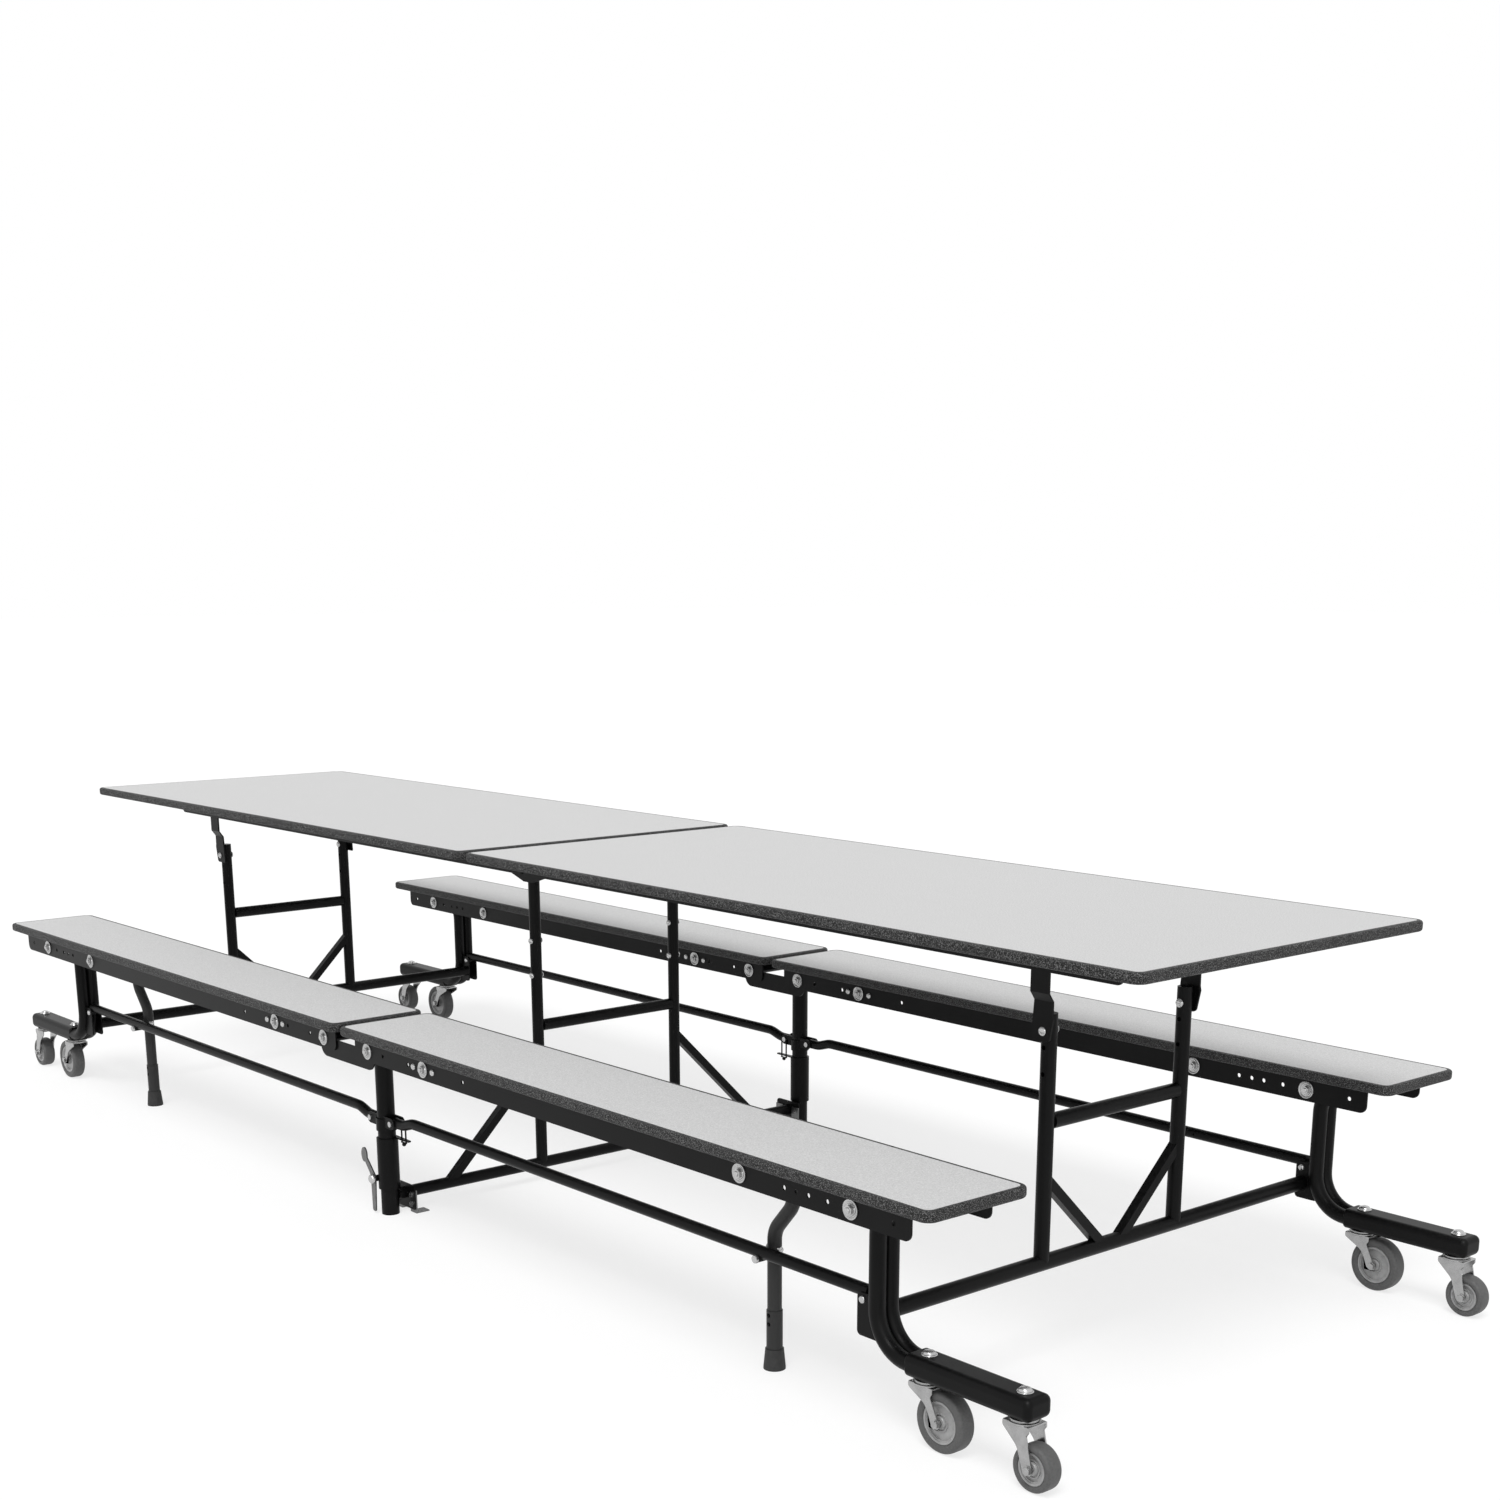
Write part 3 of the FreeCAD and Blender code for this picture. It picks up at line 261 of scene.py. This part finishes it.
black_coat = powder_coat(
    "black_powder_coat", dark=(0.0036, 0.0036, 0.0037), pale=(0.0054, 0.0054, 0.0055),
    specular=0.10, smooth=0.30, rough=0.40,
)
dress((
    "table_rails", "bench_rails", "stretcher", "end_frame_left", "end_frame_right",
    "hinge_straps", "centre_frame", "bench_hinge_posts", "leg_collars", "lock_pins",
), black_coat)


# ---------------------------------------------------------------- zinc plated steel
# Fasteners, caster forks, floor glides and the lock lever are zinc plated steel
# with a faint cloudy spangle: bright on the bolts, dulled on glides and lever.
def clouded_finish(
    name, scale, detail, softness, dark, pale, smooth, rough, specular=0.5, metallic=0.0, bump=0.0,
):
    """Finish whose grey, roughness and bumps all follow one pattern of soft clouds."""
    finish, tree, shader, place = new_finish(name)
    cloud = grain(tree, place, scale, detail, softness)
    colour_by(tree, shader, cloud, [(0.30, grey(dark)), (0.70, grey(pale))])
    shader.inputs["Specular IOR Level"].default_value = specular
    shader.inputs["Metallic"].default_value = metallic
    roughness_by(tree, shader, cloud, smooth, rough)
    if bump > 0.0:
        raise_by(tree, shader, cloud, bump, distance=0.0003)
    return finish


def zinc_plate(name, **look):
    """Plated steel: the spangle is the same on every piece, its brightness and gloss differ."""
    return clouded_finish(name, scale=70.0, detail=3.0, softness=0.55, **look)


zinc = zinc_plate("zinc_plate", dark=0.34, pale=0.42, smooth=0.16, rough=0.26, metallic=0.93)
bright_zinc = zinc_plate("bright_zinc_plate", dark=0.45, pale=0.54, smooth=0.18, rough=0.26, metallic=0.90)
dull_zinc = zinc_plate("dull_zinc_plate", dark=0.13, pale=0.20, smooth=0.30, rough=0.42, metallic=0.90)

dress(("floor_glides", "lock_lever"), dull_zinc)
dress("centre_bolts", bright_zinc)

# ---------------------------------------------------------------- bench bolts
# Each bench half turns and hangs on through bolts: a wide dished washer with a
# hexagon nut at each end.  Small dome bolts hold the channel beside the second one.

# Every link of the folding frame is as long as the next between its pivots.
link = 1.448
inner_pivot = 0.090
outer_pivot = inner_pivot + link
tie_bolt = 0.303
small_bolt_reach = 0.035
prop_inset = 0.266
prop_pivot = outer_pivot - prop_inset
bolt_level = 0.384

# Middle line of a bench, and the faces of its rails and channel from that line.
bench_line = 0.588
rail_face = 0.088
channel_face = 0.082

shank_radius = 0.006
shank_inset = 0.0005
nut_seat = 0.0026
nut_across = 0.0155
nut_height = 0.0048

# Each profile is (radius, height) from the face that the piece sits on.
washer_profile = [
    (0.0, 0.0), (0.0162, 0.0), (0.0167, 0.0006), (0.0165, 0.0022), (0.0150, 0.0028),
    (0.0136, 0.0022), (0.0126, 0.0010), (0.0108, 0.0009), (0.0098, 0.0026), (0.0, 0.0027),
]
bolt_end_profile = [(0.0, 0.0), (0.0050, 0.0), (0.0050, 0.0088), (0.0042, 0.0096), (0.0, 0.0097)]
dome_profile = [
    (0.0, 0.0), (0.0068, 0.0), (0.0068, 0.0010), (0.0060, 0.0028), (0.0040, 0.0042), (0.0, 0.0048),
]


def rod_profile(radius, low, high):
    """Profile of a plain round rod between two heights."""
    return [(0.0, low), (radius, low), (radius, high), (0.0, high)]


def set_down(work, centre, toward):
    """Turns a piece made along Z toward a direction and moves it to a centre."""
    turn = Vector(toward).to_track_quat("Z", "Y").to_matrix().to_4x4()
    bmesh.ops.transform(work, matrix=Matrix.Translation(centre) @ turn, verts=work.verts)


def turned_piece(profile, centre, toward, steps=28):
    """Bmesh of a turned piece: its profile spun about a line from centre."""
    work = bmesh.new()
    points = [work.verts.new((radius, 0.0, height)) for radius, height in profile]
    edges = [work.edges.new((points[i], points[i + 1])) for i in range(len(points) - 1)]
    bmesh.ops.spin(
        work, geom=points + edges, cent=(0, 0, 0), axis=(0, 0, 1),
        angle=math.tau, steps=steps, use_merge=True, use_duplicate=False,
    )
    bmesh.ops.remove_doubles(work, verts=work.verts, dist=1e-6)
    bmesh.ops.holes_fill(work, edges=work.edges, sides=0)
    bmesh.ops.recalc_face_normals(work, faces=work.faces)
    set_down(work, centre, toward)
    return work


def break_edges(work, least_turn, offset):
    """Bevels the edges where two faces turn by more than an angle in radians."""
    rim = [e for e in work.edges if e.calc_face_angle(0.0) > least_turn]
    bmesh.ops.bevel(work, geom=rim, offset=offset, segments=2, affect="EDGES", profile=0.5, material=-1)


def hexagon(centre, toward, across, height):
    """Bmesh of a hexagon head or nut with broken edges."""
    work = bmesh.new()
    corner = across / 2 / math.cos(math.pi / 6)
    bmesh.ops.create_cone(work, cap_ends=True, segments=6, radius1=corner, radius2=corner, depth=height)
    bmesh.ops.translate(work, vec=(0.0, 0.0, height / 2), verts=work.verts)
    break_edges(work, least_turn=0.9, offset=0.0006)
    for edge in work.edges:
        edge.smooth = False
    set_down(work, centre, toward)
    return work


def join_pieces(name, works, finish, body, angle=35.0):
    """One object from several bmeshes, shaded smooth across gentle turns."""
    whole = bmesh.new()
    for work in works:
        part = bpy.data.meshes.new("part")
        work.to_mesh(part)
        work.free()
        whole.from_mesh(part)
        bpy.data.meshes.remove(part)
    for face in whole.faces:
        face.smooth = True
    for edge in whole.edges:
        if len(edge.link_faces) == 2 and edge.calc_face_angle() > math.radians(angle):
            edge.smooth = False
    data = bpy.data.meshes.new(name)
    whole.to_mesh(data)
    whole.free()
    data.materials.append(finish)
    piece = bpy.data.objects.new(name, data)
    scene.collection.objects.link(piece)
    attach(piece, body)
    return piece


halves = (("left", -1), ("right", 1))


def quarters():
    """Name, side and half of each quarter of the table: near is -1, left is -1."""
    for side_name, side in (("near", -1), ("far", 1)):
        for half_name, half in halves:
            yield side_name + "_" + half_name, side, half


def through_bolt(x, y):
    """Bmeshes of one through bolt of a bench half, with a washer and a nut at each end."""
    works = []
    for face in (-1, 1):
        seat = (x, y + face * rail_face, bolt_level)
        on_washer = (x, y + face * (rail_face + nut_seat), bolt_level)
        works.append(turned_piece(washer_profile, seat, (0, face, 0)))
        works.append(hexagon(on_washer, (0, face, 0), nut_across, nut_height))
        works.append(turned_piece(bolt_end_profile, seat, (0, face, 0), steps=18))
    shank = rod_profile(shank_radius, shank_inset, 2 * rail_face - shank_inset)
    works.append(turned_piece(shank, (x, y - rail_face, bolt_level), (0, 1, 0), steps=16))
    return works


def tie_bolts(x, y):
    """Bmeshes of the two small bolts, one in each rail, at one place of a channel."""
    works = []
    for face in (-1, 1):
        outside = (x, y + face * rail_face, bolt_level)
        inside = (x, y + face * channel_face, bolt_level)
        works.append(turned_piece(dome_profile, outside, (0, face, 0), steps=20))
        works.append(turned_piece(dome_profile, inside, (0, -face, 0), steps=20))
    return works


for quarter, side, half in quarters():
    works = []
    for x in (inner_pivot, tie_bolt, prop_pivot, outer_pivot):
        works += through_bolt(half * x, side * bench_line)
    for x in (tie_bolt - small_bolt_reach, tie_bolt + small_bolt_reach):
        works += tie_bolts(half * x, side * bench_line)
    bolts = join_pieces("bench_bolts_dressed_" + quarter, works, bright_zinc, "bench_" + quarter)
    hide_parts("bench_bolts_" + quarter)

# ---------------------------------------------------------------- end frame bolts
# Dome bolts pin the hinge straps and the stretchers to the end frames, and
# flanged caps close the caster stems on top of the arms.
inner_strap_pin = 0.042
strap_pin = inner_strap_pin + link
strap_level = 0.588
strap_sheet = 0.004
upright_line = 0.179
upright_half = 0.0138

inner_stretcher_pin = 0.041
stretcher_pin = inner_stretcher_pin + link
stretcher_level = 0.2075
stretcher_pin_radius = 0.004
leg_tube = 0.0143

# The caster stems stand outside the S-shaped leg, on its arm.
leg_line = stretcher_pin + 0.034
inner_stem = leg_line + 0.104
outer_stem = leg_line + 0.305
arm_top = 0.150

cap_profile = [
    (0.0, 0.0), (0.0132, 0.0), (0.0134, 0.0012), (0.0127, 0.0022), (0.0108, 0.0026),
    (0.0102, 0.0046), (0.0082, 0.0068), (0.0046, 0.0081), (0.0, 0.0085),
]
strap_head = [
    (0.0, 0.0), (0.0080, 0.0), (0.0080, 0.0012), (0.0066, 0.0030), (0.0040, 0.0042), (0.0, 0.0046),
]


def two_heads(profile, x, outer_y, inner_y, level, side, steps):
    """Bmeshes of a bolt's heads on the outer and the inner face of a tube."""
    return [
        turned_piece(profile, (x, side * outer_y, level), (0, side, 0), steps),
        turned_piece(profile, (x, side * inner_y, level), (0, -side, 0), steps),
    ]


for half_name, half in halves:
    works = []
    for side in (-1, 1):
        for x in (inner_stem, outer_stem):
            works.append(turned_piece(cap_profile, (half * x, side * bench_line, arm_top), (0, 0, 1)))
        works += two_heads(
            strap_head, half * strap_pin, upright_line + upright_half + strap_sheet,
            upright_line - upright_half, strap_level, side, steps=24,
        )
        works += two_heads(
            dome_profile, half * stretcher_pin, bench_line + leg_tube,
            bench_line - leg_tube, stretcher_level, side, steps=20,
        )
        pin_start = (half * stretcher_pin, side * bench_line - leg_tube, stretcher_level)
        pin = rod_profile(stretcher_pin_radius, 0.0, 2 * leg_tube)
        works.append(turned_piece(pin, pin_start, (0, 1, 0), steps=14))
    body = half_name + "_end_frame"
    bolts = join_pieces("end_bolts_dressed_" + half_name, works, bright_zinc, body)
    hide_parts("end_frame_bolts_" + half_name)

# ---------------------------------------------------------------- centre frame bolts
# Two small bolts cross each upright of the centre frame, one above the other,
# with a low dome head on both faces of the tube.
centre_upright_line = 0.1924
light_tube = 0.0127
cross_bolt_levels = (0.470, 0.547)
head_sink = 0.0006

works = []
for side in (-1, 1):
    for level in cross_bolt_levels:
        for face in (-1, 1):
            seat = (0.0, side * centre_upright_line + face * (light_tube - head_sink), level)
            works.append(turned_piece(dome_profile, seat, (0, face, 0), steps=20))
join_pieces("centre_cross_bolts", works, bright_zinc, "centre_frame")

# ---------------------------------------------------------------- lock lever nut
# The lock lever swings on a pin in the near leg's sleeve, and a domed cap nut
# closes the pin in front of the lever.
lever_pin = (-0.021, -0.6154, 0.077)
cap_nut_profile = [
    (0.0, 0.0), (0.0100, 0.0), (0.0106, 0.0010), (0.0104, 0.0030),
    (0.0092, 0.0058), (0.0066, 0.0082), (0.0034, 0.0094), (0.0, 0.0098),
]
cap_nut = turned_piece(cap_nut_profile, lever_pin, (0, -1, 0))
join_pieces("lever_cap_nut", [cap_nut], bright_zinc, "centre_frame")

# ---------------------------------------------------------------- brace ends
# The square braces of the end and centre frames are notched into the round tubes
# that they are welded to, so each end runs on into its tube.
brace_half = 0.009

# Foot and top of a brace's middle line as (across, up), and how far each end runs on.
end_brace = ((0.0330, 0.1873), (0.1682, 0.3180), 0.0155)
centre_brace = ((0.4300, 0.0497), (0.2021, 0.2750), 0.0136)


def brace_end(start, toward, length):
    """Bmesh of a square bar end in a plane across the table, from start."""
    work = bmesh.new()
    bmesh.ops.create_cube(work, size=1.0)
    bmesh.ops.scale(work, vec=(2 * brace_half, 2 * brace_half, length), verts=work.verts)
    bmesh.ops.translate(work, vec=(0.0, 0.0, length / 2), verts=work.verts)
    lean = Matrix.Rotation(math.atan2(-toward[0], toward[1]), 4, "X")
    bmesh.ops.transform(work, matrix=Matrix.Translation(start) @ lean, verts=work.verts)
    return work


for body, x, (foot, top, reach) in (
    ("left_end_frame", -strap_pin, end_brace),
    ("right_end_frame", strap_pin, end_brace),
    ("centre_frame", 0.0, centre_brace),
):
    works = []
    for side in (-1, 1):
        run = Vector((side * (top[0] - foot[0]), top[1] - foot[1])).normalized()
        works.append(brace_end((x, side * foot[0], foot[1]), (-run.x, -run.y), reach))
        works.append(brace_end((x, side * top[0], top[1]), (run.x, run.y), reach))
    join_pieces("brace_ends_" + body, works, black_coat, body)

# ---------------------------------------------------------------- prop legs
# Each near bench half has a bent prop leg, coated a shade greyer.  A dome bolt pins
# it to the stretcher, a second one crosses it, and its foot is a black rubber ferrule.
prop_leg = prop_pivot - (inner_pivot - inner_stretcher_pin)
prop_bolt_line = 0.5992
prop_line = 0.557
prop_tube = 0.0124
cross_level = 0.218
ferrule_top = 0.0372

prop_coat = powder_coat(
    "grey_black_coat", dark=grey(0.028), pale=grey(0.036), specular=0.15, smooth=0.34, rough=0.44,
)
foot_rubber = clouded_finish(
    "black_rubber", scale=90.0, detail=3.0, softness=0.6, dark=0.024, pale=0.036,
    smooth=0.55, rough=0.72, specular=0.3,
)

prop_head = [
    (0.0, 0.0), (0.0076, 0.0), (0.0076, 0.0014), (0.0068, 0.0040), (0.0046, 0.0054), (0.0, 0.0060),
]
cross_head = [
    (0.0, 0.0), (0.0064, 0.0), (0.0064, 0.0012), (0.0056, 0.0042), (0.0034, 0.0052), (0.0, 0.0056),
]

for half_name, half in halves:
    leg = nodes["mid_leg_near_" + half_name]
    dress("mid_leg_near_" + half_name, prop_coat)
    leg.data.materials.append(foot_rubber)
    for face in leg.data.polygons:
        if (leg.matrix_world @ face.center).z < ferrule_top:
            face.material_index = 1
    x = half * prop_leg
    works = [turned_piece(prop_head, (x, -prop_bolt_line, stretcher_level), (0, -1, 0), steps=24)]
    for face in (-1, 1):
        seat = (x + face * prop_tube, -prop_line, cross_level)
        works.append(turned_piece(cross_head, seat, (face, 0, 0), steps=20))
    join_pieces("prop_leg_bolts_" + half_name, works, bright_zinc, "mid_leg_near_" + half_name)

# ---------------------------------------------------------------- caster forks
# Each caster turns on a ball race pressed into a folded steel fork: a crown with
# rolled edges, two tapered legs, and a hexagon axle bolt with its nut.
fork_inside = 0.0180
fork_sheet = 0.0030
fork_outside = fork_inside + fork_sheet
crown_level = 0.1035
crown_sheet = 0.0022
crown_back = 0.025
crown_front = 0.028
crown_inset = 0.0006
axle_radius = 0.0049
axle_half = 0.0205
washer_radius = 0.0082
washer_sheet = 0.0010
washer_sink = 0.0002
axle_nut_across = 0.0125
axle_nut_height = 0.0045

# Name of the kind, place of the stem, trail of the axle behind it, wheel radius.
caster_kinds = (
    ("inner", inner_stem, 0.038, 0.0508),
    ("outer", outer_stem, 0.029, 0.0381),
)

race_profile = [
    (0.0, 0.1036), (0.0250, 0.1036), (0.0259, 0.1044), (0.0260, 0.1058),
    (0.0258, 0.1070), (0.0246, 0.1078), (0.0226, 0.1078), (0.0222, 0.1084),
    (0.0230, 0.1092), (0.0230, 0.1108), (0.0220, 0.1116), (0.0, 0.1116),
]


def rounded_points(corners, steps=6):
    """Polygon through (u, v, radius) corners with each corner turned to an arc."""
    points = []
    count = len(corners)
    for i, (u, v, radius) in enumerate(corners):
        here = Vector((u, v))
        if radius == 0.0:
            points.append(here)
            continue
        before = (Vector(corners[i - 1][:2]) - here).normalized()
        after = (Vector(corners[(i + 1) % count][:2]) - here).normalized()
        half_turn = before.angle(after) / 2
        start = here + before * radius / math.tan(half_turn)
        end = here + after * radius / math.tan(half_turn)
        centre = here + (before + after).normalized() * radius / math.sin(half_turn)
        for k in range(steps + 1):
            arm = (start - centre).lerp(end - centre, k / steps)
            points.append(centre + arm.normalized() * radius)
    return points


def sheet_piece(corners, low, thickness, bevel):
    """Bmesh of a flat piece: an XZ outline, thick along Y, with broken edges."""
    work = bmesh.new()
    ring = [work.verts.new((p.x, low, p.y)) for p in rounded_points(corners)]
    face = work.faces.new(ring)
    made = bmesh.ops.extrude_face_region(work, geom=[face])
    top = [v for v in made["geom"] if isinstance(v, bmesh.types.BMVert)]
    bmesh.ops.translate(work, vec=(0.0, thickness, 0.0), verts=top)
    bmesh.ops.recalc_face_normals(work, faces=work.faces)
    break_edges(work, least_turn=1.2, offset=bevel)
    for flat in sorted(work.faces, key=lambda f: f.calc_area())[-2:]:
        for edge in flat.edges:
            edge.smooth = False
    return work


def fork_pieces(stem, trail, radius):
    """Bmeshes of the fork of one near right caster: race, legs, crown and axle."""
    works = [turned_piece(race_profile, (stem, -bench_line, 0.0), (0, 0, 1), steps=40)]

    axle = stem + trail
    leg_top = crown_level + 0.0018
    shoulder = crown_level - 0.007
    waist = radius + 0.55 * (shoulder - radius)
    leg_foot = radius - 0.009
    leg = [
        (stem - crown_back, leg_top, 0.002), (stem - crown_back, shoulder, 0.006),
        (axle - 0.024, waist, 0.030), (axle - 0.0095, leg_foot, 0.009),
        (axle + 0.0095, leg_foot, 0.009), (stem + 0.023, shoulder - 0.006, 0.004),
        (stem + 0.0275, shoulder, 0.002), (stem + 0.0275, leg_top, 0.002),
    ]
    for low in (-bench_line - fork_outside, -bench_line + fork_inside):
        works.append(sheet_piece(leg, low, fork_sheet, bevel=0.0005))

    crown_half = fork_outside - crown_inset
    crown_top = crown_level + crown_sheet
    crown = [
        (stem - crown_back, crown_level, 0.0), (stem + crown_front, crown_level, 0.0),
        (stem + crown_front, crown_top, 0.001), (stem - crown_back, crown_top, 0.001),
    ]
    works.append(sheet_piece(crown, -bench_line - crown_half, 2 * crown_half, bevel=0.0008))

    washer = rod_profile(washer_radius, 0.0, washer_sheet)
    for out in (-1, 1):
        face = -bench_line + out * (fork_outside - washer_sink)
        on_washer = (axle, face + out * washer_sheet, radius)
        works.append(turned_piece(washer, (axle, face, radius), (0, out, 0), steps=24))
        works.append(hexagon(on_washer, (0, out, 0), axle_nut_across, axle_nut_height))
    pin = rod_profile(axle_radius, 0.0, 2 * axle_half)
    works.append(turned_piece(pin, (axle, -bench_line - axle_half, radius), (0, 1, 0), steps=20))
    return works


for kind, stem, trail, radius in caster_kinds:
    for quarter, side, half in quarters():
        body = "fork_" + kind + "_" + quarter
        works = fork_pieces(stem, trail, radius)
        mirror = Matrix.Diagonal((half, -side, 1.0, 1.0))
        for work in works:
            bmesh.ops.transform(work, matrix=mirror, verts=work.verts)
            bmesh.ops.recalc_face_normals(work, faces=work.faces)
        fork = join_pieces("dressed_" + body, works, zinc, body, angle=30.0)
        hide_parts(body)

# ---------------------------------------------------------------- wheels
# Each caster wheel is a grey rubber tyre moulded round a paler grey core with
# stepped rings, a hub boss and an axle hole.
tyre_half_width = 0.0155

tyre_rubber = clouded_finish(
    "grey_tyre", scale=260.0, detail=3.0, softness=0.6, dark=0.072, pale=0.098,
    smooth=0.45, rough=0.60, specular=0.3, bump=0.08,
)
core_plastic = clouded_finish(
    "pale_core", scale=120.0, detail=2.0, softness=0.5, dark=0.25, pale=0.32,
    smooth=0.24, rough=0.34, bump=0.04,
)


def wheel_sections(radius):
    """Closed sections (radius, height) of a tyre and of its core for a wheel radius."""
    low = -tyre_half_width
    seat = radius * 0.70
    tyre = [
        (seat, low + 0.0030), (seat + 0.0012, low + 0.0008), (seat + 0.004, low), (radius - 0.0055, low),
        (radius - 0.0022, low + 0.0012), (radius - 0.0004, low + 0.0042), (radius, low + 0.0075),
    ]
    core = [
        (0.0053, low + 0.0016), (0.0095, low + 0.0016), (0.0105, low + 0.0030), (0.0110, low + 0.0062),
        (0.0128, low + 0.0062), (0.0132, low + 0.0044), (0.0146, low + 0.0044), (0.0150, low + 0.0066),
        (seat - 0.0070, low + 0.0070), (seat - 0.0062, low + 0.0044), (seat - 0.0048, low + 0.0040),
        (seat - 0.0040, low + 0.0024), (seat - 0.0006, low + 0.0020), (seat + 0.0002, low + 0.0034),
    ]
    return [lower + [(r, -h) for r, h in reversed(lower)] + [lower[0]] for lower in (tyre, core)]


for kind, stem, trail, radius in caster_kinds:
    tyre_section, core_section = wheel_sections(radius)
    for quarter, side, half in quarters():
        name = kind + "_" + quarter
        body = "wheel_" + name
        axle = (half * (stem + trail), side * bench_line, radius)
        tyre_work = turned_piece(tyre_section, axle, (0, 1, 0), steps=56)
        tyre = join_pieces("tyre_" + name, [tyre_work], tyre_rubber, body, angle=50.0)
        core_work = turned_piece(core_section, axle, (0, 1, 0), steps=56)
        join_pieces("core_" + name, [core_work], core_plastic, body, angle=40.0)
        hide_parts(body)
